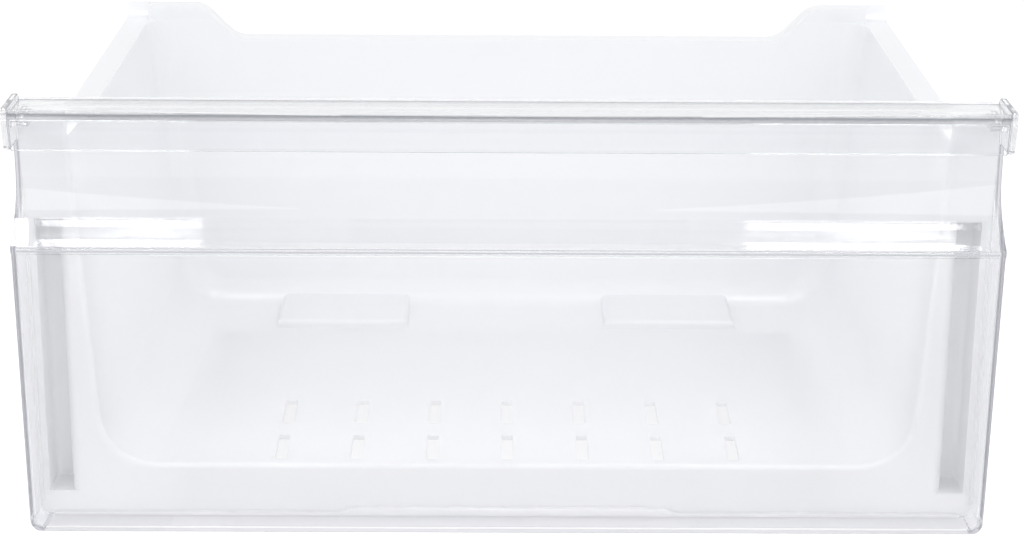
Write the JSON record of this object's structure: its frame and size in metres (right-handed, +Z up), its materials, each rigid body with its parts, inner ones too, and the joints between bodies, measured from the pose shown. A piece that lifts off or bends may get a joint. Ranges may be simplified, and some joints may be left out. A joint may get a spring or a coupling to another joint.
{
  "type": "fridge drawer organizer",
  "caption": "Open-topped fridge or freezer drawer: a white moulded tub with side rims and a slotted floor, and a clear front panel that carries a clear pull bar along its top edge.",
  "frame": {"origin": "centre of the footprint, on the surface that the drawer stands on", "axes": "+X along the front, to the right of a person who faces it; -Y towards that person; +Z up"},
  "size_m": [0.456, 0.2796, 0.2096],
  "materials": {
    "milky_plastic": "satin, slightly translucent white",
    "clear_plastic": "clear, polished",
    "clear_plastic_bar": "clear, polished"
  },
  "bodies": {
    "tub": {"tub": "milky_plastic"},
    "front": {"front_panel": "clear_plastic", "handle_bar": "clear_plastic_bar", "end_cap_left": "clear_plastic_bar", "end_cap_right": "clear_plastic_bar"}
  },
  "joints": [
    {"name": "front_pull_off", "type": "slide", "parent": "tub", "child": "front", "axis": [0, -1, 0], "range_m": [0, 0.025]}
  ]
}
